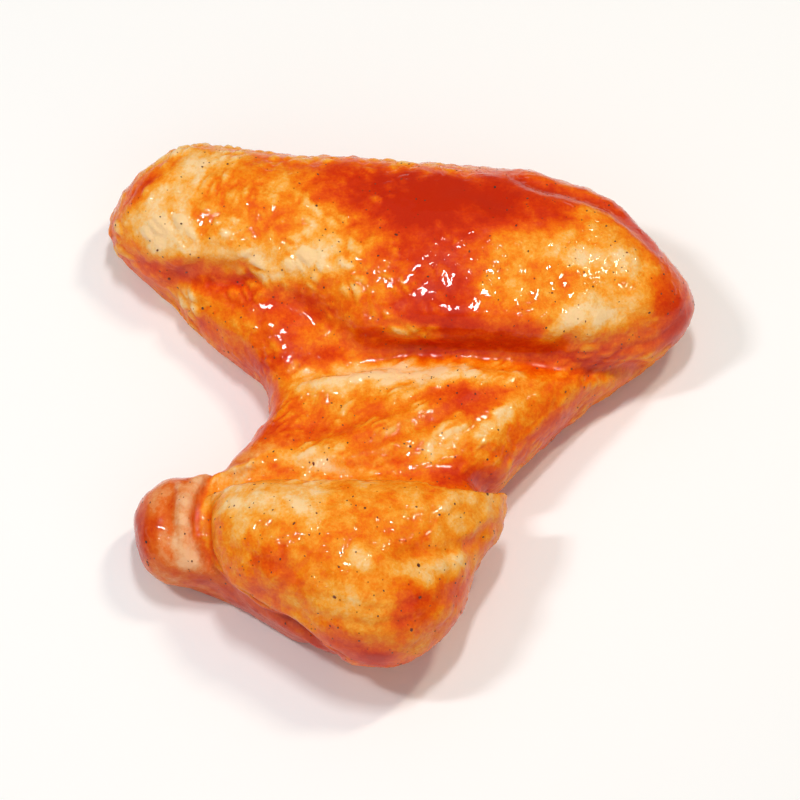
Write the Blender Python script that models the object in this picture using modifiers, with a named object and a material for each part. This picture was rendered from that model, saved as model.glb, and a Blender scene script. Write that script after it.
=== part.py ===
"""Raw chicken wing of two joints, folded at the elbow and lying on its inner side.

The forearm (the flat) runs from the elbow on the right to the wrist on the left, the upper arm
(the drumette) comes back under it towards the viewer, and a web of skin joins the two.
Metres, +Z up. The wing lies on z = 0, with its fold open to -X and its drumette towards -Y.
"""

import math

import bmesh
import bpy
import numpy as np
from mathutils import Matrix, Vector, noise
from mathutils.bvhtree import BVHTree

# Driving dimensions
WING_LENGTH = 0.0955  # from the elbow's point to the wrist; the sections below are scaled to it
MIDDLE_SHARE = 0.53  # how far up its thickness a limb is widest
UNDER = 0.002  # how far a limb reaches below the board before it is cut flat
REST_LEVEL = 0.0  # the level of that cut
SPARE = 0.0006  # left under that level until the last cut
SECTION_FULLNESS = 2.35  # 2 is an ellipse, more is squarer
BLUNTNESS = 8.0  # of a limb's domed ends

# Sections along a limb: (x, y, half width, top)
FOREARM = (
    (0.0520, 0.0140, 0.0098, 0.0235),
    (0.0450, 0.0146, 0.0104, 0.0252),
    (0.0380, 0.0158, 0.0146, 0.0265),
    (0.0270, 0.0187, 0.0184, 0.0270),
    (0.0150, 0.0204, 0.0192, 0.0274),
    (0.0000, 0.0224, 0.0192, 0.0274),
    (-0.0100, 0.0260, 0.0163, 0.0260),
    (-0.0250, 0.0298, 0.0141, 0.0245),
    (-0.0420, 0.0319, 0.0130, 0.0215),
    (-0.0480, 0.0310, 0.0100, 0.0195),
    (-0.0524, 0.0305, 0.0085, 0.0185),
)
UPPER_ARM = (
    (0.0480, 0.0140, 0.0095, 0.0220),
    (0.0330, 0.0078, 0.0088, 0.0187),
    (0.0245, 0.0018, 0.0096, 0.0187),
    (0.0060, -0.0130, 0.0140, 0.0211),
    (-0.0060, -0.0230, 0.0160, 0.0210),
    (-0.0170, -0.0330, 0.0150, 0.0200),
)
WEB_EDGE = (
    (-0.0490, 0.0290, 0.0060, 0.0145),
    (-0.0412, 0.0262, 0.0062, 0.0145),
    (-0.0281, 0.0144, 0.0065, 0.0145),
    (-0.0225, 0.0100, 0.0065, 0.0150),
    (-0.0178, 0.0040, 0.0065, 0.0155),
    (-0.0166, -0.0045, 0.0065, 0.0160),
    (-0.0190, -0.0145, 0.0072, 0.0175),
    (-0.0250, -0.0222, 0.0075, 0.0190),
    (-0.0320, -0.0285, 0.0080, 0.0190),
)
WEB_BACK = (
    (-0.0360, 0.0260, 0.0070, 0.0160),
    (-0.0250, 0.0170, 0.0080, 0.0165),
    (-0.0080, 0.0000, 0.0085, 0.0170),
)
CUT_LEDGE = (
    (-0.0395, -0.0285, 0.0055, 0.0130),
    (-0.0290, -0.0338, 0.0055, 0.0128),
    (-0.0200, -0.0388, 0.0055, 0.0126),
    (-0.0120, -0.0450, 0.0054, 0.0117),
)
CUT_FILLET = (
    (-0.0310, -0.0225, 0.0045, 0.0190),
    (-0.0315, -0.0290, 0.0045, 0.0180),
    (-0.0285, -0.0350, 0.0045, 0.0155),
)

# Rounded masses: the centre (x, y), the top, and the reach by degrees from +X
WEB_MIDDLE = ((-0.0080, -0.0060), 0.0190, {0: 0.018, 90: 0.013, 140: 0.016, 180: 0.012, 270: 0.013})
CUT_MUSCLE = (
    (-0.0360, -0.0280),
    0.0180,
    {
        0: 0.0150, 45: 0.0125, 90: 0.0095, 115: 0.0106, 135: 0.0106, 180: 0.0104, 232: 0.0104, 270: 0.0098,
        315: 0.0138,
    },
)
TRICEPS = (
    (-0.0090, -0.0386),
    0.0290,
    {
        0: 0.0224, 14: 0.0262, 25: 0.0318, 35: 0.0275, 60: 0.0196, 90: 0.0172, 124: 0.0202, 145: 0.0262,
        165: 0.0258, 185: 0.0210, 202: 0.0170, 222: 0.0142, 245: 0.0140, 276: 0.0165, 295: 0.0190, 318: 0.0199,
    },
)

# Folds: (depth, half width, run). A ridge has a depth below nothing.
FOREARM_OVER_UPPER_ARM = (0.0028, 0.0017, (
    (-0.0200, -0.0018), (-0.0145, 0.0004), (-0.0048, 0.0010), (0.0010, 0.0022), (0.0152, 0.0010),
    (0.0272, 0.0000), (0.0345, -0.0005), (0.0400, 0.0019), (0.0480, 0.0072),
))
FOREARM_ROLL = (-0.0016, 0.0034, (
    (-0.0170, 0.0060), (-0.0048, 0.0058), (0.0152, 0.0056), (0.0272, 0.0048), (0.0370, 0.0055),
))
FOREARM_HOLLOW = (0.0008, 0.0050, ((-0.0120, 0.0310), (0.0050, 0.0305), (0.0230, 0.0270)))
ELBOW_FOLD = (0.0009, 0.0012, ((0.0190, 0.0340), (0.0318, 0.0300), (0.0400, 0.0255), (0.0455, 0.0200)))
FAR_SIDE_FOLDS = (
    (0.0010, 0.0022, ((0.0380, 0.0340, 0.0110), (0.0180, 0.0420, 0.0120), (-0.0060, 0.0440, 0.0100))),
    (0.0009, 0.0020, ((0.0020, 0.0440, 0.0170), (-0.0180, 0.0460, 0.0150), (-0.0400, 0.0480, 0.0110))),
)
WRIST_FOLD = (0.0016, 0.0022, (
    (-0.0500, 0.0215), (-0.0434, 0.0205), (-0.0366, 0.0185), (-0.0300, 0.0175), (-0.0230, 0.0150),
))
SHOULDER_FOLD = (0.0022, 0.0022, (
    (-0.0340, -0.0205), (-0.0269, -0.0222), (-0.0162, -0.0230), (0.0000, -0.0224), (0.0050, -0.0243),
    (0.0120, -0.0247), (0.0205, -0.0245),
))
SHOULDER_GROOVE = (0.0008, 0.0018, (
    (-0.0020, -0.0430), (0.0040, -0.0405), (0.0110, -0.0370), (0.0190, -0.0340),
))
SKIN_EDGE = (0.0024, 0.0014, (
    (-0.0310, -0.0175, 0.0165), (-0.0330, -0.0230, 0.0172), (-0.0341, -0.0297, 0.0172),
    (-0.0325, -0.0362, 0.0145), (-0.0294, -0.0409, 0.0140), (-0.0238, -0.0449, 0.0138),
    (-0.0141, -0.0513, 0.0128), (-0.0080, -0.0550, 0.0110),
))
FLESH_GROOVE = (0.0010, 0.0012, (
    (-0.0398, -0.0190, 0.0165), (-0.0400, -0.0240, 0.0180), (-0.0398, -0.0300, 0.0178),
    (-0.0385, -0.0370, 0.0130),
))
FADING = 0.005  # the length over which a fold fades out at its ends
FOLD_REACH = 3.0  # half widths from its run within which a fold is felt
LINE_SPACING = 0.0004  # between the points that a fold's run is measured from
UNDERSIDE = -0.6  # a normal's height below which nothing is pressed
SIDE = -0.2  # a normal's height above which a fold has its whole depth

# Creases that fan out over the upper arm from the web's edge
CREASES = 5
CREASE_DEPTH = 0.0008
CREASE_HALF_WIDTH = 0.0013
CREASE_STARTS = ((-0.0215, 0.0010), (-0.0240, -0.0110), (-0.0150, -0.0180), (-0.0020, -0.0200))
CREASE_ENDS = ((-0.0040, 0.0005), (0.0080, -0.0030), (0.0180, -0.0045), (0.0180, -0.0100))
CREASE_SAG = 0.0012

# Unevenness of flesh under skin
UNEVENNESS = 0.0007
UNEVENNESS_SIZE = 0.011
FINER = 2.1  # how much finer its second layer is, at half the height

# Resolution and rounding
RINGS = 40  # cross-sections along a limb
SPOKES = 40  # points round a cross-section
VOXEL = 0.0008
TRIANGLES = 11200
LIMB_ROUNDING = 22
SHOULDER_ROUNDING = 7
ABOVE = 0.1  # a height over the whole wing

WING_NAME = "chicken_wing"


def through(shares, values, at):
    """A smooth curve through the values that stand at these shares of a length."""
    shares = np.asarray(shares, float)
    values = np.asarray(values, float)
    slopes = np.gradient(values, shares)
    left = np.clip(np.searchsorted(shares, at, "right") - 1, 0, len(shares) - 2)
    span = shares[left + 1] - shares[left]
    u = (at - shares[left]) / span
    rise = values[left + 1] - values[left]
    start, end = slopes[left] * span, slopes[left + 1] * span
    return values[left] + u * start + u**2 * (3 * rise - 2 * start - end) + u**3 * (start + end - 2 * rise)


def mesh_object(name, shape):
    """A new object that holds a bmesh, in the scene's own collection."""
    mesh = bpy.data.meshes.new(name)
    shape.to_mesh(mesh)
    shape.free()
    made = bpy.data.objects.new(name, mesh)
    bpy.context.scene.collection.objects.link(made)
    return made


def squared(turn):
    """Across and upward shares of a section's half sizes, at a turn round it."""
    power = 2 / SECTION_FULLNESS
    cosine, sine = math.cos(turn), math.sin(turn)
    return math.copysign(abs(cosine) ** power, cosine), math.copysign(abs(sine) ** power, sine)


def limb(name, sections):
    """A closed tube of changing section along a curved centre line, with domed ends."""
    sections = np.array(sections)
    steps = np.linalg.norm(np.diff(sections[:, :2], axis=0), axis=1)
    shares = np.concatenate(([0.0], np.cumsum(steps))) / steps.sum()
    at = 0.5 - 0.5 * np.cos(np.linspace(0.0, math.pi, RINGS + 2))[1:-1]
    x, y, half_width, top = (through(shares, column, at) for column in sections.T)
    middle = MIDDLE_SHARE * top
    centres = np.column_stack((x, y, middle))
    dome = (1 - np.abs(2 * at - 1) ** BLUNTNESS) ** 0.5
    tangents = np.gradient(centres, at, axis=0)
    turns = np.linspace(0.0, 2 * math.pi, SPOKES, endpoint=False)

    shape = bmesh.new()
    rings = []
    for k, tangent in enumerate(tangents):
        side = Vector((-tangent[1], tangent[0], 0.0)).normalized()
        ring = []
        for turn in turns:
            across, upward = squared(turn)
            reach = top[k] - middle[k] if upward > 0 else middle[k] + UNDER
            point = Vector(centres[k]) + side * half_width[k] * dome[k] * across
            ring.append(shape.verts.new(point + Vector((0.0, 0.0, reach * dome[k] * upward))))
        rings.append(ring)
    for ring, following in zip(rings, rings[1:]):
        for i in range(SPOKES):
            j = (i + 1) % SPOKES
            shape.faces.new((ring[i], ring[j], following[j], following[i]))
    shape.faces.new(rings[0][::-1])
    shape.faces.new(rings[-1])
    bmesh.ops.recalc_face_normals(shape, faces=shape.faces)
    return mesh_object(name, shape)


def mass(name, centre, top, reaches):
    """A rounded mass that reaches a given distance from its centre in each direction."""
    directions = [math.radians(degrees) for degrees in reaches]
    distances = list(reaches.values())
    directions = [directions[-1] - 2 * math.pi, *directions, directions[0] + 2 * math.pi]
    distances = [distances[-1], *distances, distances[0]]
    middle = MIDDLE_SHARE * top
    shape = bmesh.new()
    bmesh.ops.create_uvsphere(shape, u_segments=SPOKES, v_segments=SPOKES // 2, radius=1.0)
    for vert in shape.verts:
        direction = math.atan2(vert.co.y, vert.co.x) % (2 * math.pi)
        reach = float(through(directions, distances, np.array([direction]))[0])
        tall = top - middle if vert.co.z > 0 else middle + UNDER
        vert.co = Vector((*centre, middle)) + Vector((vert.co.x * reach, vert.co.y * reach, vert.co.z * tall))
    return mesh_object(name, shape)


def limbs_and_cut_flesh():
    return [
        limb("forearm", FOREARM),
        limb("upper_arm", UPPER_ARM),
        limb("web_edge", WEB_EDGE),
        mass("web_middle", *WEB_MIDDLE),
        limb("web_back", WEB_BACK),
        mass("cut_muscle", *CUT_MUSCLE),
        limb("cut_ledge", CUT_LEDGE),
        limb("cut_fillet", CUT_FILLET),
    ]


def fused(name, pieces, rounding):
    """The pieces joined into one closed skin, with its inner corners rounded."""
    joined = bmesh.new()
    for piece in pieces:
        joined.from_mesh(piece.data)
        bpy.data.objects.remove(piece)
    whole = mesh_object(name, joined)
    remesh = whole.modifiers.new("one skin", "REMESH")
    remesh.mode = "VOXEL"
    remesh.voxel_size = VOXEL
    smooth = whole.modifiers.new("rounding", "SMOOTH")
    smooth.factor = 0.5
    smooth.iterations = rounding
    return with_modifiers_applied(whole)


def with_modifiers_applied(piece):
    graph = bpy.context.evaluated_depsgraph_get()
    mesh = bpy.data.meshes.new_from_object(piece.evaluated_get(graph))
    name = piece.name
    bpy.data.objects.remove(piece)
    made = bpy.data.objects.new(name, mesh)
    bpy.context.scene.collection.objects.link(made)
    return made


def smooth_line(points):
    """Closely spaced points along a smooth curve through the given ones, with their shares."""
    points = np.array(points)
    steps = np.linalg.norm(np.diff(points, axis=0), axis=1)
    shares = np.concatenate(([0.0], np.cumsum(steps))) / steps.sum()
    at = np.linspace(0.0, 1.0, max(2, int(steps.sum() / LINE_SPACING)))
    return np.column_stack([through(shares, column, at) for column in points.T]), at


def dropped_on(tree, point):
    """The surface under a point without a height, or the nearest to one with a height."""
    if len(point) == 3:
        return tree.find_nearest(Vector(point))[0]
    above = Vector((*point, ABOVE))
    return tree.ray_cast(above, Vector((0.0, 0.0, -1.0)))[0] or tree.find_nearest(Vector((*point, 0.0)))[0]


def pressed(wing, folds):
    """Presses folds into the upper side and the sides. A fold fades out at its ends."""
    tree = BVHTree.FromPolygons(
        [vert.co for vert in wing.data.vertices], [face.vertices for face in wing.data.polygons]
    )
    count = len(wing.data.vertices)
    places = np.empty(count * 3)
    normals = np.empty(count * 3)
    wing.data.vertices.foreach_get("co", places)
    wing.data.vertices.foreach_get("normal", normals)
    places, normals = places.reshape(-1, 3), normals.reshape(-1, 3)
    moved = np.zeros(count)
    for depth, half_width, run in folds:
        line, at = smooth_line([dropped_on(tree, point) for point in run])
        reach = FOLD_REACH * half_width
        low, high = line.min(axis=0) - reach, line.max(axis=0) + reach
        near = np.flatnonzero(np.all((places > low) & (places < high), axis=1))
        gaps = np.linalg.norm(places[near, None] - line[None], axis=2)
        closest = gaps.argmin(axis=1)
        length = np.linalg.norm(np.diff(line, axis=0), axis=1).sum()
        from_an_end = np.minimum(at[closest], 1 - at[closest]) * length
        faded = np.clip(from_an_end / FADING, 0.0, 1.0)
        bell = np.exp(-((gaps.min(axis=1) / half_width) ** 2))
        moved[near] -= depth * bell * faded * (3 - 2 * faded) * faded
    upper = np.clip((normals[:, 2] - UNDERSIDE) / (SIDE - UNDERSIDE), 0.0, 1.0)
    places += normals * (moved * upper)[:, None]
    wing.data.vertices.foreach_set("co", places.ravel())
    wing.data.update()


def fanned_creases():
    """Creases from the web's edge over the upper arm, each a little sagged between its ends."""
    starts = np.array(CREASE_STARTS)
    ends = np.array(CREASE_ENDS)
    shares = np.linspace(0.0, 1.0, len(starts))
    creases = []
    for share in np.linspace(0.0, 1.0, CREASES):
        at = np.array([share])
        start = np.array([through(shares, column, at)[0] for column in starts.T])
        end = np.array([through(shares, column, at)[0] for column in ends.T])
        middle = (start + end) / 2 - (0.0, CREASE_SAG)
        creases.append((CREASE_DEPTH, CREASE_HALF_WIDTH, (tuple(start), tuple(middle), tuple(end))))
    return creases


def all_folds():
    return [
        FOREARM_OVER_UPPER_ARM,
        FOREARM_ROLL,
        FOREARM_HOLLOW,
        ELBOW_FOLD,
        *FAR_SIDE_FOLDS,
        WRIST_FOLD,
        SHOULDER_FOLD,
        SHOULDER_GROOVE,
        SKIN_EDGE,
        FLESH_GROOVE,
        *fanned_creases(),
    ]


def uneven(wing, height, size):
    """Gives the surface the slow ups and downs of flesh under skin."""
    for vert in wing.data.vertices:
        lift = noise.noise(vert.co / size) + 0.5 * noise.noise(vert.co * FINER / size)
        vert.co += vert.normal * height * lift
    wing.data.update()


def bodies(shape):
    """The separate closed bodies of a bmesh, as lists of vertices."""
    left = set(shape.verts)
    found = []
    while left:
        body, edge_of_search = [], [left.pop()]
        while edge_of_search:
            vert = edge_of_search.pop()
            body.append(vert)
            beside = {edge.other_vert(vert) for edge in vert.link_edges} & left
            left -= beside
            edge_of_search.extend(beside)
        found.append(body)
    return found


def cut_level(wing, level):
    """Cuts the wing off at a level, closes the cut and fills any hollow inside."""
    shape = bmesh.new()
    shape.from_mesh(wing.data)
    everything = [*shape.verts, *shape.edges, *shape.faces]
    cut = bmesh.ops.bisect_plane(
        shape, geom=everything, plane_co=(0.0, 0.0, level), plane_no=(0.0, 0.0, -1.0), clear_outer=True
    )
    rim = [piece for piece in cut["geom_cut"] if isinstance(piece, bmesh.types.BMEdge)]
    bmesh.ops.edgenet_fill(shape, edges=rim)
    for body in sorted(bodies(shape), key=len)[:-1]:
        bmesh.ops.delete(shape, geom=body, context="VERTS")
    bmesh.ops.triangulate(shape, faces=[face for face in shape.faces if len(face.verts) > 4])
    bmesh.ops.recalc_face_normals(shape, faces=shape.faces)
    shape.to_mesh(wing.data)
    shape.free()


def sized_and_centred(wing):
    """Brings the wing to its length, with the origin under its middle at the level it rests on."""
    places = np.array([vert.co for vert in wing.data.vertices])
    low, high = places.min(axis=0), places.max(axis=0)
    middle = (low + high) / 2
    offset = Vector((-middle[0], -middle[1], -low[2]))
    size = Matrix.Scale(WING_LENGTH / (high[0] - low[0]), 4)
    wing.data.transform(size @ Matrix.Translation(offset))


def skin_material():
    material = bpy.data.materials.new("marinated_skin")
    material.use_nodes = True
    shader = material.node_tree.nodes["Principled BSDF"]
    shader.inputs["Base Color"].default_value = (0.80, 0.30, 0.04, 1.0)
    shader.inputs["Roughness"].default_value = 0.3
    shader.inputs["Metallic"].default_value = 0.0
    return material


def main():
    for old in list(bpy.data.objects):
        bpy.data.objects.remove(old)
    limbs = fused("limbs", limbs_and_cut_flesh(), LIMB_ROUNDING)
    wing = fused(WING_NAME, [limbs, mass("triceps", *TRICEPS)], SHOULDER_ROUNDING)
    pressed(wing, all_folds())
    uneven(wing, UNEVENNESS, UNEVENNESS_SIZE)
    cut_level(wing, REST_LEVEL - SPARE)
    lighter = wing.modifiers.new("fewer faces", "DECIMATE")
    lighter.ratio = TRIANGLES / max(TRIANGLES, sum(len(face.vertices) - 2 for face in wing.data.polygons))
    wing = with_modifiers_applied(wing)
    cut_level(wing, REST_LEVEL)
    sized_and_centred(wing)
    wing.data.materials.clear()
    wing.data.materials.append(skin_material())
    wing.data.shade_smooth()
    collection = bpy.data.collections.new("Chicken wing")
    bpy.context.scene.collection.children.link(collection)
    bpy.context.scene.collection.objects.unlink(wing)
    collection.objects.link(wing)


main()
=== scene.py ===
import math
import random

import bmesh
import bpy
import numpy as np
from mathutils import Matrix, Vector, noise


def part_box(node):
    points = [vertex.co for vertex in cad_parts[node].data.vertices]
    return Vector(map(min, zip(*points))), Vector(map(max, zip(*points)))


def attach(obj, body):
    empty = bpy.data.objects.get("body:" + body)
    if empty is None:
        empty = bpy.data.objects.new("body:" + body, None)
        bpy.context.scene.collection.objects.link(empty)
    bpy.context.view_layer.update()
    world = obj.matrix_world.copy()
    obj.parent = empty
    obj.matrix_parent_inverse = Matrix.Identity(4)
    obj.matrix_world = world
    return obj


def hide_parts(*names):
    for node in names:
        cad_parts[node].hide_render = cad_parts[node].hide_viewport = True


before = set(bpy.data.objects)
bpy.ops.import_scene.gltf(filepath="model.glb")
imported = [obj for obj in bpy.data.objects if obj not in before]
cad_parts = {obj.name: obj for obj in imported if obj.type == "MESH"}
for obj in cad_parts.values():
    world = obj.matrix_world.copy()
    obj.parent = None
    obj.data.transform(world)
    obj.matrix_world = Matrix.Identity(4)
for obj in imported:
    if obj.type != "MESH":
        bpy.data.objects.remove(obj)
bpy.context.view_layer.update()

MM = 0.001
SEED = 7

# The wing is looked at from the front and this far above the horizon. Places on it are given in
# millimetres as seen from there: to the right of its middle, and up.
SEEN_FROM = math.radians(62.0)

# Sauce: (across, up, half size across, half size up, turn in degrees, how much).
# Less than nothing is skin with hardly any sauce on it.
SAUCE = (
    (11.3, 39.1, 14.6, 4.8, -9, 0.62),  # the pool on the flat, with its arm to the left and its run down
    (-6.4, 40.0, 8.2, 4.1, -20, 0.3),
    (4.0, 28.6, 6.3, 10.1, 14, 0.42),
    (4.0, 18.5, 7.6, 3.8, 0, 0.34),
    (17.7, 15.9, 8.2, 3.2, 0, 0.24),  # beside and in the fold
    (-11.8, 14.0, 10.5, 1.6, 12, 0.2),
    (31.0, 12.7, 10.8, 2.2, 15, 0.2),
    (44.3, 21.6, 3.2, 8.9, 15, 0.32),  # the rim of the elbow
    (37.3, 35.6, 7.6, 1.9, -36, 0.28),
    (-31.2, 33.7, 1.6, 2.9, 0, 0.14),  # the flat near the wrist
    (-46.1, 33.7, 1.9, 5.1, -10, 0.10),
    (-41.6, 41.0, 4.8, 1.3, 38, 0.22),
    (-37.5, 26.7, 6.3, 1.3, -8, 0.2),
    (-22.9, 21.0, 9.5, 3.5, -20, 0.24),  # the web of skin
    (-19.1, 8.3, 7.0, 6.3, -20, 0.22),
    (-22.3, 2.0, 4.4, 3.8, 30, 0.16),
    (10.4, 6.4, 4.1, 3.8, 0, 0.34),  # the drumette
    (9.1, -5.7, 4.4, 2.5, 0, 0.34),
    (-4.8, 3.2, 3.5, 3.5, 0, 0.16),
    (21.5, 2.0, 3.8, 7.0, -38, 0.18),
    (-22.0, -3.1, 6.3, 1.9, -10, 0.12),
    (-19.8, -18.3, 3.2, 4.1, 15, 0.26),  # the meat of the shoulder
    (-6.4, -14.5, 3.5, 2.9, -30, 0.1),
    (3.7, -25.3, 5.1, 3.5, 20, 0.3),
    (-6.4, -33.2, 6.3, 2.5, -25, 0.34),
    (-4.5, -34.2, 2.2, 1.6, 0, 0.3),
    (-23.6, -24.0, 8.2, 1.6, -38, 0.12),
    (-38.1, 34.6, 5.4, 5.4, 10, -0.40),  # bare, near the wrist
    (-34.5, 41.0, 4.0, 2.6, 20, -0.18),
    (-43.5, 34.6, 1.6, 2.5, 0, -0.08),
    (-33.1, 44.5, 6.3, 2.2, 5, -0.26),
    (-22.0, 28.6, 10.8, 2.9, -4, -0.3),
    (-19.1, 41.0, 1.9, 2.5, -50, -0.24),
    (-13.1, 32.7, 4.1, 3.8, -30, -0.19),
    (29.7, 29.6, 10.1, 2.5, -14, -0.42),  # bare, near the elbow
    (33.2, 20.7, 5.4, 3.5, 10, -0.38),
    (25.3, 17.5, 3.8, 1.3, 38, -0.34),
    (16.4, 27.3, 4.1, 3.8, 0, -0.16),
    (31.0, 36.2, 6.3, 2.9, -25, -0.14),
    (6.6, 44.1, 8.9, 1.6, -6, -0.42),
    (1.8, 16.2, 3.8, 1.6, 0, -0.34),
    (-34.7, 22.9, 3.8, 2.2, -35, -0.2),  # bare, on the web
    (-13.4, 17.2, 4.4, 1.9, -25, -0.2),
    (-0.1, 10.2, 14.0, 2.0, 2, -0.46),  # bare, on the drumette
    (8.8, 11.5, 3.8, 1.5, 0, -0.16),
    (-15.0, 7.0, 5.7, 3.8, 20, -0.14),
    (-9.8, 4.5, 4.1, 3.2, 0, -0.10),
    (6.3, -0.9, 4.4, 1.6, 38, -0.34),
    (16.4, 3.5, 5.1, 1.6, 38, -0.28),
    (-15.9, -2.8, 5.1, 1.3, -10, -0.28),
    (-7.1, -4.7, 7.0, 1.0, -4, -0.22),
    (-24.8, -8.8, 4.4, 3.5, 0, -0.3),  # bare, on the meat of the shoulder
    (-15.3, -9.1, 4.1, 3.8, 0, -0.28),
    (5.3, -19.9, 4.8, 2.2, 8, -0.36),
    (-9.3, -26.3, 6.3, 3.5, -10, -0.2),
    (-5.8, -18.7, 2.5, 1.6, 0, -0.18),
    (11.3, -8.2, 3.2, 2.2, 0, -0.12),
    (12.0, -13.5, 4.5, 3.4, 0, -0.09),
)

# More or less sauce on the cut flesh, given as in SAUCE
FLESH_SAUCE = (
    (-33.0, -18.2, 4.4, 2.7, -38, -0.40),  # the pale flesh beside the skin
    (-34.2, -12.0, 1.8, 3.0, 0, -0.20),
    (-38.0, -8.8, 3.2, 2.8, 0, -0.12),  # the top of the round muscle
    (-41.3, -14.5, 3.2, 5.8, -8, 0.32),  # its left side
    (-38.3, -22.2, 3.8, 1.3, -22, -0.06),  # its foot
    (-27.0, -26.0, 6.0, 1.8, -35, 0.10),  # the strip under the skin
    (-12.0, -33.5, 8.5, 3.0, -32, 0.34),
)

# Small folds of the skin, seen the same way: (depth, width, sauce in it, its run)
FOLDS = (
    (0.26, 0.7, 0.16, ((18.3, 42.2), (23.7, 40.3), (29.1, 38.7), (34.2, 36.5), (38.3, 34.0), (41.8, 30.2))),
    (0.24, 0.6, 0.12, ((29.7, 9.3), (32.6, 12.4), (36.7, 14.0), (40.8, 15.3), (44.3, 18.1), (46.5, 21.3))),
    (0.30, 0.9, 0.10, (
        (-44.5, 29.2), (-40.1, 27.6), (-36.2, 26.1), (-32.4, 25.1), (-26.7, 24.8), (-22.3, 25.4),
    )),
    (0.14, 0.6, 0.10, ((-35.0, 45.7), (-39.4, 42.9), (-43.2, 40.0), (-45.4, 37.5), (-46.7, 34.3))),
    (0.30, 0.8, 0.10, (
        (-3.9, -16.4), (-0.4, -17.7), (3.4, -17.4), (7.5, -18.0), (11.3, -16.4), (14.8, -13.3),
    )),
    (0.14, 0.6, 0.04, ((-13.4, -27.2), (-8.7, -28.5), (-3.6, -28.8), (1.2, -27.9))),
    (0.12, 0.6, 0.04, ((-11.5, -24.7), (-6.4, -25.9), (-0.7, -26.3), (4.3, -24.7))),
    (0.18, 0.7, 0.08, ((19.3, -4.4), (15.1, -2.2), (9.7, -1.2), (4.3, -2.2), (0.5, -3.7))),
    (0.14, 0.8, 0.06, ((-23.6, 0.4), (-18.8, 1.6), (-13.4, 2.0), (-8.7, 1.0), (-3.9, -1.2))),
    (0.14, 0.9, 0.08, ((-35.0, 19.7), (-30.5, 17.5), (-26.1, 14.6), (-22.6, 11.2))),
)
FOLD_BANK = 0.45  # how high the skin stands on both sides of a fold, as a share of its depth
FOLD_BANK_AT = 2.0  # widths from the fold
FOLD_WET_WIDTH = 1.3

# The cut edge of the skin, seen the same way. The flesh is to the left of it and below.
SKIN_EDGE = (
    (-24.0, -3.5), (-29.6, -5.7), (-31.5, -10.8), (-31.5, -14.9), (-29.6, -19.1), (-27.0, -22.6),
    (-22.0, -26.4), (-16.6, -28.3), (-13.1, -31.1), (-9.6, -34.0), (-6.5, -37.5),
)
# The groove between the round muscle and the paler flesh beside the skin
FLESH_GROOVE = (
    (-35.0, -5.5), (-36.0, -10.0), (-36.2, -14.5), (-36.6, -17.8), (-35.0, -20.4), (-32.1, -22.3),
    (-28.4, -24.7), (-22.9, -27.5),
)
# Small lumps of fat on the flesh: (across, up, radius)
FAT = ((-31.9, -6.8, 1.3), (-33.8, -9.8, 1.3), (-34.4, -12.8, 1.1), (-30.9, -5.4, 0.7), (-35.0, -7.6, 0.6))
FAT_HEIGHT = 0.34  # as a share of the radius
FAT_BARE = 0.30

# How far patches and lines waver, in millimetres: (broadly, finely)
PATCHES_WAVER = (1.3, 0.9)
EDGE_WAVERS = (0.5, 0.25)
FOLDS_WAVER = (0.35, 0.0)
GROOVE_WAVERS = (0.9, 0.4)

# A patch of sauce is down to half its amount at its half sizes, and falls off with this power and rate
PATCH_POWER = 1.3
PATCH_FALL = 0.7

# Where a part of the wing fades in: (not there yet, wholly there), seen the same way
FLAT_UP = (12.0, 17.0)
FLAT_SLOPE = 0.06  # how much higher that is for each millimetre to the right
SHOULDER_UP = (-5.0, -9.0)
CUT_UP = (2.0, -6.0)
CUT_ACROSS = (3.0, -6.0)
FLESH_FROM_EDGE = (-0.2, 0.35)
FAR_CORNER_UP = (34.0, 40.0)
FAR_CORNER_ACROSS = (-8.0, -22.0)
GOOSE_ACROSS = (22.0, -2.0)
SHOWING = (-0.15, 0.3)  # how far a normal turns to the viewer
FREE_OF_FLOOR = (0.0003, 0.0022)  # heights in metres

# The folds that sauce and loose skin round out:
# (up, half width, across where it isn't rounded, across where it is)
ROUNDED_FOLDS = ((12.5, 5.0, -24.0, -14.0), (25.0, 3.5, -16.0, -22.0))
ROUNDINGS = 50

# Noise and pads: (size in metres, start in the pattern, turn in degrees and stretch where it has a grain)
WOBBLE = ((0.006, 3.0), (0.006, 9.0))
FINE_WOBBLE = ((0.0022, 5.0), (0.0022, 15.0))
CLOUDS = (0.0034, 1.0)
FINE_CLOUDS = (0.0017, 2.0)
CLUMPS = (0.0045, 25.0)
DRIFTS = (0.008, 50.0)
DRIFTS_BEHIND = (0.013, 33.0)
FINE_DRIFTS_BEHIND = (0.006, 35.0)
FIBRES = (0.0011, 70.0, 100, 4.0)
GOOSE_SKIN = (0.0021, 3.0, -52, 1.9)
GOOSE_ROWS = (0.0019, 8.0, 62, 2.6)
STREAKS = (0.0016, 12.0, 36, 3.4)
FAT_LOBES = (0.0052, 17.0)
GRAIN = (0.0011, 21.0)
BEND_STARTS = (1, 5, 9)  # of the noise that bends the pads
BEND = 0.3  # of a pad's size
BEND_SIZE = 1.6
PAD_GAP = (0.02, 0.5)  # how much nearer one pad's middle is than the next one's: in a valley, on a pad
CLUMP_EDGE = (-0.35, 0.4)

# Strength of the skin's patterns on its parts
GOOSE_ON_FLAT = 0.9
FAT_ON_FLAT = 0.3
STREAKS_ON_DRUMETTE = 0.85
GOOSE_ON_DRUMETTE = 0.2
FAT_ON_SHOULDER = 0.7
GOOSE_ON_SHOULDER = 0.25

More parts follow.
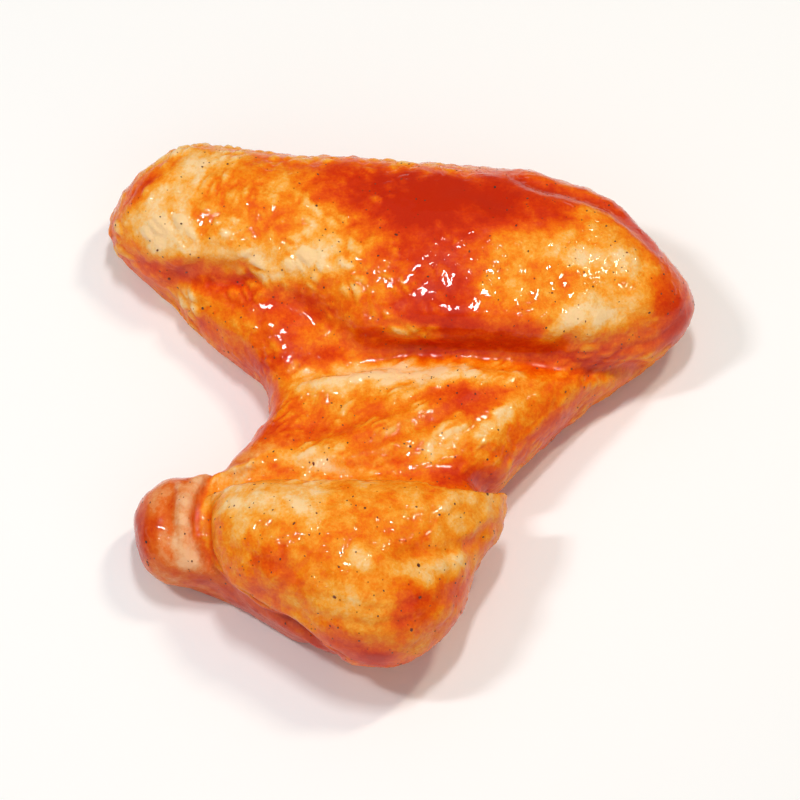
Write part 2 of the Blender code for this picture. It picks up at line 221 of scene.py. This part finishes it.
# Relief in millimetres
PATTERN_RELIEF = 0.34
MORE_ON_FLAT = 0.14
PATTERN_LEVEL = 0.35  # where the pattern leaves the surface in its place
CLOUD_RELIEF = 0.12
GRAIN_RELIEF = 0.07
GRAIN_LEVEL = 0.6
DROWNED = 0.85  # how much of the relief a pool of sauce hides
POOL_HEIGHT = 0.10
FIBRE_RELIEF = 0.12
FLESH_RELIEF = 0.16
FLESH_LOWERED = 0.05
LIP = (0.6, 0.6)  # the skin's edge: how far in from the cut it is highest, and its width
LIP_GROOVE = (0.5, 0.5)  # the same of the groove outside it
LIP_HEIGHT = 0.36
LIP_GROOVE_DEPTH = 1.3  # as a share of that height
ALL_LOWERED = 0.18  # keeps the relief inside the solid's box

# Amounts of sauce
SAUCE_LEVEL = 0.47
LESS_ON_UPPER_ARM = 0.03
IN_VALLEYS = 0.17
IN_VALLEYS_OF_FLAT = 0.2
IN_VALLEYS_OF_DRUMETTE = 0.1
VALLEY_LEVEL = 0.12
IN_CLOUDS = 0.09
IN_DRIFTS = 0.10
IN_DRIFTS_BEHIND = 0.25
IN_FINE_DRIFTS_BEHIND = 0.12
ON_GRAIN = 0.03
IN_HOLLOWS = 0.16
HOLLOWS = (-0.3, 0.7)
IN_WIDE_HOLLOWS = 0.04
WIDE_HOLLOWS = (-1.0, 2.0)
# painted shade: the sides get more sauce than the top, so they come out redder and darker
SHADE_ON_SIDES = 0.12
SIDES = (0.8, 0.1)  # a normal's height on top and on a side
POOLED = (0.62, 0.9)
FLESH_MORE = 0.05
FLESH_CLOUDS = 0.14
# partly sauce, partly painted shadow: the groove outside the skin's edge is made darker, as if the edge
# shades it
SAUCE_AND_SHADOW_IN_LIP_GROOVE = (0.22, 0.3, 0.45)  # how much, how far out from the cut, and over what width
OFF_LIP = (0.1, 0.7, 0.5)  # the same, in from the cut
IN_FLESH_GROOVE = (0.2, 0.6)  # how much, and over what width

# How often a value is averaged with its neighbours, to see the surface round it
NARROW_ROUND = 60
WIDE_ROUND = 500
FILM_ROUND = 40
FILM_CALM = (0.3, 0.6)  # the sauce under which the film's surface follows the skin, and over which it is calm
FILM_SIDES = (-0.3, 0.5)  # a normal's height where the film is thinnest and where it is whole
THINNEST_FILM = 0.3

# Colours under more and more sauce, as shown on a screen, 0 to 255
SAUCE_COLOURS = (
    (0.00, (248, 208, 152)),
    (0.12, (248, 188, 106)),
    (0.25, (249, 163, 50)),
    (0.38, (244, 134, 12)),
    (0.52, (237, 102, 2)),
    (0.66, (225, 76, 1)),
    (0.80, (212, 54, 1)),
    (1.00, (194, 38, 1)),
)
FLESH_COLOURS = (
    (0.00, (240, 184, 136)),
    (0.25, (232, 150, 90)),
    (0.50, (224, 106, 30)),
    (0.75, (212, 74, 6)),
    (1.00, (194, 50, 3)),
)
SPICE_COLOURS = ((0.3, (66, 26, 8)), (0.7, (128, 50, 12)))
DOT_COLOUR = (128, 46, 8)

# Sizes of the material's own patterns, in metres
MOTTLE_SIZE = 0.0019
COLOUR_GRAIN_SIZE = 0.0005
DOT_SPACING = 0.0015
DOT_RADII = (0.06, 0.12)  # whole and gone, as shares of the spacing
DOTS_KEPT = 0.45
DOT_STRENGTH = 0.7
PORE_SIZE = 0.0005
WAVE_SIZE = 0.0042
RIPPLE_SIZE = 0.0016
CREST_SIZE = 0.0030
CREST_REGION_SIZE = 0.009
CREST_WIDTH = 0.06  # in the noise that the crests run through
SPICE_SHADE_SIZE = 0.003
SPICE_GRAIN_SIZE = 0.0003

# Small dark pieces of spice, in metres
FLECKS = 600
FLECK_RADII = (0.00014, 0.00026)
LARGE_FLECKS = 0.08
LARGER = 1.5
FLECK_SLIMNESS = (0.4, 0.9)
FLECK_HALF_THICKNESS = 0.00008
FLECK_SUNK = 0.00002
LOWEST_FLECK = 0.0015

# The mesh, in metres
VOXEL = 0.00047
SMOOTHING = 10
SAME_PLACE = 1e-6

# Studio and camera, in metres and watts: (name, place, power, width, height, colour)
MIDDLE = (0.0, 0.0, 0.012)
WHITE = (1.0, 1.0, 1.0)
WARM = (1.0, 0.92, 0.75)
LAMPS = (
    ("soft key", (0.0, 0.22, 0.80), 0.55, 1.2, 1.1, WHITE),
    ("glint above", (0.02, 0.05, 0.62), 1.15, 0.04, 0.11, WHITE),
    ("glint left", (-0.31, -0.02, 0.52), 1.0, 0.04, 0.10, WHITE),
    ("glint right", (0.24, 0.16, 0.53), 0.85, 0.04, 0.10, WARM),
    ("front fill", (0.05, -0.80, 0.50), 3.4, 2.2, 1.1, WHITE),
)
SKY = (1.0, 0.99, 0.98, 1.0)
SKY_STRENGTH = 0.16
FLOOR_HALF_SIZE = 3.0
FLOOR_LEVEL = -0.00005
FLOOR_COLOUR = (0.96, 0.96, 0.96, 1.0)
AIM = (0.0, 0.001, 0.011)
DISTANCE = 0.83
FRAME_WIDTH = 0.128  # what the picture shows across, at the wing
SENSOR_MM = 36.0
NEAREST = 0.01


def linear(colour):
    """A screen colour of 0 to 255 as linear light, with full alpha."""
    shares = [value / 255 for value in colour]
    return tuple(c / 12.92 if c <= 0.04045 else ((c + 0.055) / 1.055) ** 2.4 for c in shares) + (1.0,)


def step(low, high, values):
    """A smooth step from 0 to 1 between low and high."""
    t = np.clip((values - low) / (high - low), 0.0, 1.0)
    return t * t * (3 - 2 * t)


def hump(values, middle, width):
    """1 in the middle, and falling off smoothly to both sides of it."""
    return np.exp(-(((values - middle) / width) ** 2))


def seen(places):
    """Where places show from the front above, in millimetres: across and up."""
    up = places[:, 1] * math.sin(SEEN_FROM) + places[:, 2] * math.cos(SEEN_FROM)
    return np.column_stack((places[:, 0], up)) / MM


def turned(points, turn):
    """How far the points are along a direction, given in degrees, and how far across it."""
    c, s = math.cos(math.radians(turn)), math.sin(math.radians(turn))
    return points[:, 0] * c + points[:, 1] * s, -points[:, 0] * s + points[:, 1] * c


def in_pattern(places, size, start, turn, stretch):
    """Places in the units of a pattern, with features of that size in metres. The features are
    stretched along the turn, which is given in degrees seen from above."""
    along, across = turned(places, turn)
    return np.column_stack((along / stretch, across, places[:, 2])) / size + start


def noise_at(places, size, start=0.0, turn=0.0, stretch=1.0):
    """Smooth noise, about -1 to 1."""
    points = in_pattern(places, size, start, turn, stretch)
    return np.array([noise.noise(Vector(point)) for point in points])


def pads(places, size, start, turn=0.0, stretch=1.0):
    """1 on the small pads that goose skin is made of, 0 in the valleys between them."""
    bend = np.column_stack([noise_at(places, size * BEND_SIZE, start + k) for k in BEND_STARTS])
    points = in_pattern(places + BEND * size * bend, size, start, turn, stretch)
    gaps = np.empty(len(points))
    for k, point in enumerate(points):
        nearest = noise.voronoi(Vector(point))[0]
        gaps[k] = nearest[1] - nearest[0]
    return step(*PAD_GAP, gaps)


def beside_line(points, line):
    """Each point's distance to an open line, above 0 on its left as the line runs."""
    line = np.array(line)
    nearest = np.full(len(points), np.inf)
    signed = np.zeros(len(points))
    for start, end in zip(line, line[1:]):
        run = end - start
        t = np.clip(((points - start) @ run) / (run @ run), 0, 1)
        gap = points - (start + t[:, None] * run)
        distance = np.linalg.norm(gap, axis=1)
        side = np.sign(run[0] * (points[:, 1] - start[1]) - run[1] * (points[:, 0] - start[0]))
        closer = distance < nearest
        nearest[closer] = distance[closer]
        signed[closer] = (distance * side)[closer]
    return signed


def noise_pair(places, patterns):
    """Noise to move points by: across and up."""
    return np.column_stack([noise_at(places, *pattern) for pattern in patterns])


def wavering(view, wobbles, how_far):
    """The points moved a little to and fro, so that what is drawn on them gets no even outline."""
    broadly, finely = how_far
    return view + broadly * wobbles[0] + finely * wobbles[1]


def sauce_from_patches(points, patches):
    """How much more or less sauce the patches give at each point."""
    total = np.zeros(len(points))
    for across, up, half_across, half_up, turn, much in patches:
        along, athwart = turned(points - (across, up), turn)
        far = (along / half_across) ** 2 + (athwart / half_up) ** 2
        total += much * np.exp(-(far**PATCH_POWER) * PATCH_FALL)
    return total


def copied_skin():
    """The CAD wing's surface as a fine even mesh, without its facets."""
    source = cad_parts["chicken_wing"]
    shape = bmesh.new()
    shape.from_mesh(source.data)
    bmesh.ops.remove_doubles(shape, verts=shape.verts, dist=SAME_PLACE)
    mesh = bpy.data.meshes.new("wing_skin")
    shape.to_mesh(mesh)
    shape.free()
    skin = bpy.data.objects.new("wing_skin", mesh)
    bpy.context.scene.collection.objects.link(skin)
    remesh = skin.modifiers.new("even mesh", "REMESH")
    remesh.mode = "VOXEL"
    remesh.voxel_size = VOXEL
    smooth = skin.modifiers.new("no facets", "SMOOTH")
    smooth.factor = 0.5
    smooth.iterations = SMOOTHING
    graph = bpy.context.evaluated_depsgraph_get()
    fine = bpy.data.meshes.new_from_object(skin.evaluated_get(graph))
    skin.modifiers.clear()
    skin.data = fine
    return skin


def vertex_arrays(mesh):
    """The places and the normals of the vertices, a row for each."""
    places = np.empty(len(mesh.vertices) * 3)
    normals = np.empty(len(mesh.vertices) * 3)
    mesh.vertices.foreach_get("co", places)
    mesh.vertices.foreach_get("normal", normals)
    return places.reshape(-1, 3), normals.reshape(-1, 3)


def put(mesh, places):
    """Moves the vertices to those places."""
    mesh.vertices.foreach_set("co", places.ravel())
    mesh.update()


def neighbour_mean(mesh, values, times):
    """The values spread over the surface by averaging along the edges."""
    ends = np.empty(len(mesh.edges) * 2, dtype=np.int64)
    mesh.edges.foreach_get("vertices", ends)
    a, b = ends.reshape(-1, 2).T
    count = np.bincount(a, minlength=len(values)) + np.bincount(b, minlength=len(values))
    for _ in range(times):
        total = np.bincount(a, values[b], len(values)) + np.bincount(b, values[a], len(values))
        values = 0.5 * values + 0.5 * total / np.maximum(count, 1)
    return values


def mean_rows(mesh, rows, times):
    """The same for rows of three values."""
    return np.column_stack([neighbour_mean(mesh, rows[:, k], times) for k in range(3)])


def hollowness(mesh, places, normals, times):
    """How far a place lies below the surface round it, in millimetres."""
    around = mean_rows(mesh, places, times)
    return np.einsum("ij,ij->i", around - places, normals) / MM


def round_folds(mesh):
    """Rounds the two deepest folds out, as sauce and loose skin do, and leaves the rest."""
    places = vertex_arrays(mesh)[0]
    across, up = seen(places).T
    masks = [hump(up, at, width) * step(none, whole, across) for at, width, none, whole in ROUNDED_FOLDS]
    mask = np.max(masks, axis=0)
    for _ in range(ROUNDINGS):
        around = mean_rows(mesh, places, 1)
        put(mesh, places)
        normals = vertex_arrays(mesh)[1]
        hollow = np.einsum("ij,ij->i", around - places, normals) > 0
        places = places + (around - places) * (hollow * mask)[:, None]
    put(mesh, places)


def store_film(mesh, sauce):
    """Stores the normals of the film of sauce, which fills the small valleys and so is calmer."""
    normals = vertex_arrays(mesh)[1]
    calm = mean_rows(mesh, normals, FILM_ROUND)
    film = normals + step(*FILM_CALM, sauce)[:, None] * (calm - normals)
    film = film / np.linalg.norm(film, axis=1)[:, None]
    layer = mesh.attributes.new("film", "FLOAT_VECTOR", "POINT")
    layer.data.foreach_set("vector", film.astype(np.float32).ravel())


def dress(skin):
    """Gives the skin its relief, and stores where sauce and cut flesh are."""
    mesh = skin.data
    round_folds(mesh)
    places, normals = vertex_arrays(mesh)
    low, high = (np.array(corner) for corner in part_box("chicken_wing"))
    deep = hollowness(mesh, places, normals, NARROW_ROUND)
    wide = hollowness(mesh, places, normals, WIDE_ROUND)
    wobbles = [noise_pair(places, patterns) for patterns in (WOBBLE, FINE_WOBBLE)]
    view = seen(places)
    across, up = view.T
    points = wavering(view, wobbles, PATCHES_WAVER)

    # the parts of the wing, and the side that shows from the front above
    from_edge = -beside_line(wavering(view, wobbles, EDGE_WAVERS), SKIN_EDGE)
    near_cut = step(*CUT_UP, up) * step(*CUT_ACROSS, across)
    flesh = step(*FLESH_FROM_EDGE, from_edge) * near_cut
    on_flat = step(*FLAT_UP, up - FLAT_SLOPE * across)
    on_shoulder = step(*SHOULDER_UP, up) * (1 - flesh)
    on_drumette = (1 - on_flat) * (1 - on_shoulder) * (1 - flesh)
    shows = step(*SHOWING, normals[:, 1] * -math.cos(SEEN_FROM) + normals[:, 2] * math.sin(SEEN_FROM))

    # relief: rows of pads on the flat, streaks along the drumette, soft fat on the shoulder
    far_corner = step(*FAR_CORNER_UP, up) * step(*FAR_CORNER_ACROSS, across)
    goose = pads(places, *GOOSE_SKIN) * (1 - far_corner) + pads(places, *GOOSE_ROWS) * far_corner
    goose_shown = np.maximum(step(*GOOSE_ACROSS, across), 1 - shows)
    streaks = pads(places, *STREAKS)
    fat = pads(places, *FAT_LOBES)
    grain = pads(places, *GRAIN)
    clouds = noise_at(places, *CLOUDS) + 0.5 * noise_at(places, *FINE_CLOUDS)
    patchy = step(*CLUMP_EDGE, noise_at(places, *CLUMPS))
    skin_relief = (
        on_flat * (GOOSE_ON_FLAT * goose * patchy * goose_shown + FAT_ON_FLAT * fat)
        + on_drumette * (STREAKS_ON_DRUMETTE * streaks * patchy + GOOSE_ON_DRUMETTE * goose)
        + on_shoulder * (FAT_ON_SHOULDER * fat + GOOSE_ON_SHOULDER * goose * patchy)
    )

    # sauce: the patches on the side that shows, drifts behind, more in valleys and hollows, and painted shade
    # on the sides
    sauce = SAUCE_LEVEL - LESS_ON_UPPER_ARM * (on_drumette + on_shoulder)
    sauce += shows * sauce_from_patches(points, SAUCE)
    in_valleys = IN_VALLEYS + IN_VALLEYS_OF_FLAT * on_flat + IN_VALLEYS_OF_DRUMETTE * on_drumette
    sauce -= in_valleys * (skin_relief - VALLEY_LEVEL)
    sauce += (1 - shows) * IN_DRIFTS_BEHIND * noise_at(places, *DRIFTS_BEHIND)
    sauce += (1 - shows) * IN_FINE_DRIFTS_BEHIND * noise_at(places, *FINE_DRIFTS_BEHIND)
    sauce += IN_CLOUDS * clouds + IN_DRIFTS * noise_at(places, *DRIFTS) - ON_GRAIN * grain
    sauce += IN_HOLLOWS * np.clip(deep, *HOLLOWS) + IN_WIDE_HOLLOWS * np.clip(wide, *WIDE_HOLLOWS)
    # painted shade: more sauce, so a darker red, where the surface turns from the top to a side
    sauce += SHADE_ON_SIDES * step(*SIDES, normals[:, 2])
    pooled = step(*POOLED, sauce) * (1 - flesh)

    relief = (PATTERN_RELIEF + MORE_ON_FLAT * on_flat) * (skin_relief - PATTERN_LEVEL)
    relief += CLOUD_RELIEF * clouds + GRAIN_RELIEF * (grain - GRAIN_LEVEL)
    relief *= 1 - DROWNED * pooled
    relief += POOL_HEIGHT * pooled
    fibres = noise_at(places, *FIBRES)
    relief = relief * (1 - flesh) + flesh * (FIBRE_RELIEF * fibres + FLESH_RELIEF * clouds - FLESH_LOWERED)
    for depth, width, wet, run in FOLDS:
        apart = np.abs(beside_line(wavering(view, wobbles, FOLDS_WAVER), run)) / width
        relief -= depth * hump(apart, 0.0, 1.0) * shows
        relief += FOLD_BANK * depth * hump(apart, FOLD_BANK_AT, 1.0) * shows
        sauce += wet * hump(apart, 0.0, FOLD_WET_WIDTH) * shows

    # the skin's edge stands over the flesh, and the flesh has its own groove and fat
    inward, lip_width = LIP
    outward, lip_groove_width = LIP_GROOVE
    lip = hump(from_edge, -inward, lip_width)
    lip -= LIP_GROOVE_DEPTH * hump(from_edge, outward, lip_groove_width)
    relief += LIP_HEIGHT * lip * near_cut
    # more sauce in the groove outside the skin's edge: partly sauce, partly painted shadow cast by the edge
    much, outward, width = SAUCE_AND_SHADOW_IN_LIP_GROOVE
    sauce += near_cut * much * hump(from_edge, outward, width)
    much, inward, width = OFF_LIP
    sauce -= near_cut * much * hump(from_edge, -inward, width)
    in_groove = beside_line(wavering(view, wobbles, GROOVE_WAVERS), FLESH_GROOVE)
    much, width = IN_FLESH_GROOVE
    sauce += much * hump(in_groove, 0.0, width) * flesh
    sauce += flesh * (FLESH_MORE + sauce_from_patches(points, FLESH_SAUCE) + FLESH_CLOUDS * clouds)
    for fat_across, fat_up, radius in FAT:
        apart = np.hypot(across - fat_across, up - fat_up) / radius
        relief += FAT_HEIGHT * radius * hump(apart, 0.0, 1.0) * shows
        sauce -= FAT_BARE * hump(apart, 0.0, 1.0) * shows
    relief -= ALL_LOWERED

    free = step(*FREE_OF_FLOOR, places[:, 2])
    put(mesh, np.clip(places + normals * (relief * free * MM)[:, None], low, high))

    film_share = step(*FILM_SIDES, normals[:, 2])
    for name, values in (("sauce", sauce), ("flesh", flesh), ("film_share", film_share)):
        layer = mesh.attributes.new(name, "FLOAT", "POINT")
        layer.data.foreach_set("value", values.astype(np.float32))
    store_film(mesh, sauce)
    mesh.shade_smooth()


class Nodes:
    """Short ways to add and join shader nodes."""

    def __init__(self, name):
        self.material = bpy.data.materials.new(name)
        self.material.use_nodes = True
        self.tree = self.material.node_tree
        self.shader = self.tree.nodes["Principled BSDF"]

    def add(self, kind, inputs=(), **settings):
        node = self.tree.nodes.new(kind)
        for key, value in settings.items():
            setattr(node, key, value)
        for key, value in dict(inputs).items():
            self.plug(value, node.inputs[key])
        return node

    def plug(self, value, socket):
        if isinstance(value, bpy.types.NodeSocket):
            self.tree.links.new(value, socket)
        else:
            socket.default_value = value

    def attribute(self, name, output="Fac"):
        return self.add("ShaderNodeAttribute", attribute_name=name).outputs[output]

    def noise(self, where, size, detail=2.0, roughness=0.5):
        inputs = {"Vector": where, "Scale": 1 / size, "Detail": detail, "Roughness": roughness}
        return self.add("ShaderNodeTexNoise", inputs).outputs["Fac"]

    def maths(self, operation, a, b=0.0, clamp=False):
        node = self.add("ShaderNodeMath", {0: a, 1: b}, operation=operation)
        node.use_clamp = clamp
        return node.outputs[0]

    def ramp(self, value, stops):
        node = self.add("ShaderNodeValToRGB", {"Fac": value})
        marks = node.color_ramp.elements
        while len(marks) < len(stops):
            marks.new(0.5)
        for mark, (place, colour) in zip(marks, stops):
            mark.position = place
            mark.color = linear(colour)
        return node.outputs["Color"]

    def between(self, value, from_low, from_high, to_low, to_high):
        inputs = {"Value": value, "From Min": from_low, "From Max": from_high}
        inputs.update({"To Min": to_low, "To Max": to_high})
        return self.add("ShaderNodeMapRange", inputs).outputs["Result"]

    def mixed(self, share, first, second):
        node = self.add("ShaderNodeMix", data_type="RGBA")
        self.plug(share, node.inputs["Factor"])
        self.plug(first, node.inputs["A"])
        self.plug(second, node.inputs["B"])
        return node.outputs["Result"]


def wing_material():
    n = Nodes("marinated wing")
    where = n.add("ShaderNodeTexCoord").outputs["Object"]
    sauce, flesh = n.attribute("sauce"), n.attribute("flesh")

    clouds = n.noise(where, MOTTLE_SIZE, 4.0, 0.62)
    grain = n.noise(where, COLOUR_GRAIN_SIZE, 3.0, 0.65)
    varied = n.maths("ADD", sauce, n.between(clouds, 0.25, 0.75, -0.14, 0.14))
    varied = n.maths("ADD", varied, n.between(grain, 0.3, 0.7, -0.07, 0.07), clamp=True)
    skin = n.ramp(varied, SAUCE_COLOURS)
    varied_meat = n.maths("ADD", varied, n.between(clouds, 0.3, 0.7, -0.06, 0.06), clamp=True)
    colour = n.mixed(flesh, skin, n.ramp(varied_meat, FLESH_COLOURS))

    # single grains of spice, finer than the flecks
    dots = n.add("ShaderNodeTexVoronoi", {"Vector": where, "Scale": 1 / DOT_SPACING, "Randomness": 1.0})
    dot = n.between(dots.outputs["Distance"], *DOT_RADII, 1.0, 0.0)
    draw = n.add("ShaderNodeSeparateColor", {"Color": dots.outputs["Color"]}).outputs[0]
    chosen = n.maths("GREATER_THAN", draw, 1 - DOTS_KEPT)
    spice = n.maths("MULTIPLY", n.maths("MULTIPLY", dot, chosen), DOT_STRENGTH)
    colour = n.mixed(spice, colour, linear(DOT_COLOUR))
    n.plug(colour, n.shader.inputs["Base Color"])

    # what lies under the film
    wet = n.between(varied, 0.25, 0.7, 0.5, 0.3)
    wet = n.maths("ADD", wet, n.between(grain, 0.3, 0.7, -0.04, 0.06))
    n.plug(wet, n.shader.inputs["Roughness"])
    n.shader.inputs["Specular IOR Level"].default_value = 0.05
    n.shader.inputs["Subsurface Weight"].default_value = 0.14
    n.shader.inputs["Subsurface Radius"].default_value = (1.0, 0.35, 0.1)
    n.shader.inputs["Subsurface Scale"].default_value = 0.0018
    pores = n.noise(where, PORE_SIZE, 3.0, 0.6)
    waves = n.noise(where, WAVE_SIZE, 1.5, 0.45)
    dry = n.between(varied, 0.4, 0.85, 1.0, 0.12)
    height = n.maths("ADD", n.maths("MULTIPLY", pores, dry), n.maths("MULTIPLY", waves, 0.9))
    bump = n.add("ShaderNodeBump", {"Height": height, "Strength": 0.5, "Distance": 0.0004})
    n.plug(bump.outputs["Normal"], n.shader.inputs["Normal"])

    # the film of sauce, with ripples and crests of its own, thinner on the sides
    film_share = n.between(n.attribute("film_share"), 0.0, 1.0, THINNEST_FILM, 1.0)
    coat = n.maths("MULTIPLY", n.between(varied, 0.05, 0.45, 0.65, 1.0), film_share)
    n.plug(coat, n.shader.inputs["Coat Weight"])
    n.shader.inputs["Coat Roughness"].default_value = 0.03
    n.shader.inputs["Coat IOR"].default_value = 1.3
    ripples = n.noise(where, RIPPLE_SIZE, 1.0, 0.4)
    crest = n.maths("ABSOLUTE", n.maths("SUBTRACT", n.noise(where, CREST_SIZE, 1.0, 0.4), 0.5))
    crest = n.between(crest, 0.0, CREST_WIDTH, 1.0, 0.0)
    crested = n.between(n.noise(where, CREST_REGION_SIZE, 1.0), 0.46, 0.56, 0.0, 0.22)
    film_height = n.maths("ADD", waves, n.maths("MULTIPLY", ripples, 0.2))
    film_height = n.maths("ADD", film_height, n.maths("MULTIPLY", crest, crested))
    directions = {"vector_type": "NORMAL", "convert_from": "OBJECT", "convert_to": "WORLD"}
    calm = n.add("ShaderNodeVectorTransform", {"Vector": n.attribute("film", "Vector")}, **directions)
    film = n.add(
        "ShaderNodeBump",
        {"Height": film_height, "Strength": 0.4, "Distance": 0.0010, "Normal": calm.outputs["Vector"]},
    )
    n.plug(film.outputs["Normal"], n.shader.inputs["Coat Normal"])
    return n.material


def fleck_material():
    n = Nodes("spice")
    where = n.add("ShaderNodeTexCoord").outputs["Object"]
    shade = n.noise(where, SPICE_SHADE_SIZE, 2.0)
    n.plug(n.ramp(shade, SPICE_COLOURS), n.shader.inputs["Base Color"])
    n.plug(n.between(n.noise(where, SPICE_GRAIN_SIZE), 0.3, 0.7, 0.35, 0.6), n.shader.inputs["Roughness"])
    return n.material


def flecks(skin):
    """Small dark pieces of spice, pressed into the surface all over."""
    rng = random.Random(SEED)
    places, normals = vertex_arrays(skin.data)
    low, high = (np.array(corner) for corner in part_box("chicken_wing"))
    shape = bmesh.new()
    count = 0
    while count < FLECKS:
        k = rng.randrange(len(places))
        place, normal = Vector(places[k]), Vector(normals[k])
        if place.z < LOWEST_FLECK:
            continue
        radius = rng.uniform(*FLECK_RADII) * (LARGER if rng.random() < LARGE_FLECKS else 1.0)
        turn = Matrix.Rotation(rng.uniform(0, math.pi), 4, "Z")
        laid = normal.to_track_quat("Z", "Y").to_matrix().to_4x4() @ turn
        size = Matrix.Diagonal((radius, radius * rng.uniform(*FLECK_SLIMNESS), FLECK_HALF_THICKNESS, 1.0))
        placed = Matrix.Translation(place - normal * FLECK_SUNK) @ laid @ size
        bmesh.ops.create_icosphere(shape, subdivisions=1, radius=1.0, matrix=placed)
        count += 1
    for vert in shape.verts:
        vert.co = Vector(np.clip(vert.co, low, high))
    mesh = bpy.data.meshes.new("spice_flecks")
    shape.to_mesh(mesh)
    shape.free()
    mesh.shade_smooth()
    spice = bpy.data.objects.new("spice_flecks", mesh)
    bpy.context.scene.collection.objects.link(spice)
    return spice


def area_light(name, place, power, width, height, colour):
    light = bpy.data.lights.new(name, "AREA")
    light.shape = "RECTANGLE"
    light.size, light.size_y = width, height
    light.energy = power
    light.color = colour
    lamp = bpy.data.objects.new(name, light)
    lamp.location = place
    lamp.rotation_euler = (Vector(MIDDLE) - Vector(place)).to_track_quat("-Z", "Y").to_euler()
    bpy.context.scene.collection.objects.link(lamp)


def studio():
    for lamp in LAMPS:
        area_light(*lamp)
    world = bpy.data.worlds.new("studio")
    world.use_nodes = True
    world.node_tree.nodes["Background"].inputs["Color"].default_value = SKY
    world.node_tree.nodes["Background"].inputs["Strength"].default_value = SKY_STRENGTH
    scene = bpy.context.scene
    scene.world = world
    scene.view_settings.view_transform = "Standard"

    mesh = bpy.data.meshes.new("floor")
    shape = bmesh.new()
    bmesh.ops.create_grid(shape, x_segments=1, y_segments=1, size=FLOOR_HALF_SIZE)
    shape.to_mesh(mesh)
    shape.free()
    floor = bpy.data.objects.new("floor", mesh)
    floor.location.z = FLOOR_LEVEL
    scene.collection.objects.link(floor)
    pale = Nodes("pale floor")
    pale.shader.inputs["Base Color"].default_value = FLOOR_COLOUR
    pale.shader.inputs["Roughness"].default_value = 0.6
    mesh.materials.append(pale.material)


def camera():
    lens = bpy.data.cameras.new("camera")
    made = bpy.data.objects.new("camera", lens)
    bpy.context.scene.collection.objects.link(made)
    back = Vector((0.0, -math.cos(SEEN_FROM), math.sin(SEEN_FROM)))
    made.location = Vector(AIM) + back * DISTANCE
    made.rotation_euler = (-back).to_track_quat("-Z", "Y").to_euler()
    lens.sensor_width = SENSOR_MM
    lens.lens = SENSOR_MM * DISTANCE / FRAME_WIDTH
    lens.clip_start = NEAREST
    lens.dof.use_dof = False
    bpy.context.scene.camera = made


def main():
    skin = copied_skin()
    dress(skin)
    skin.data.materials.clear()
    skin.data.materials.append(wing_material())
    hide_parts("chicken_wing")
    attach(skin, "root")

    spice = flecks(skin)
    spice.data.materials.append(fleck_material())
    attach(spice, "root")

    studio()
    camera()


main()
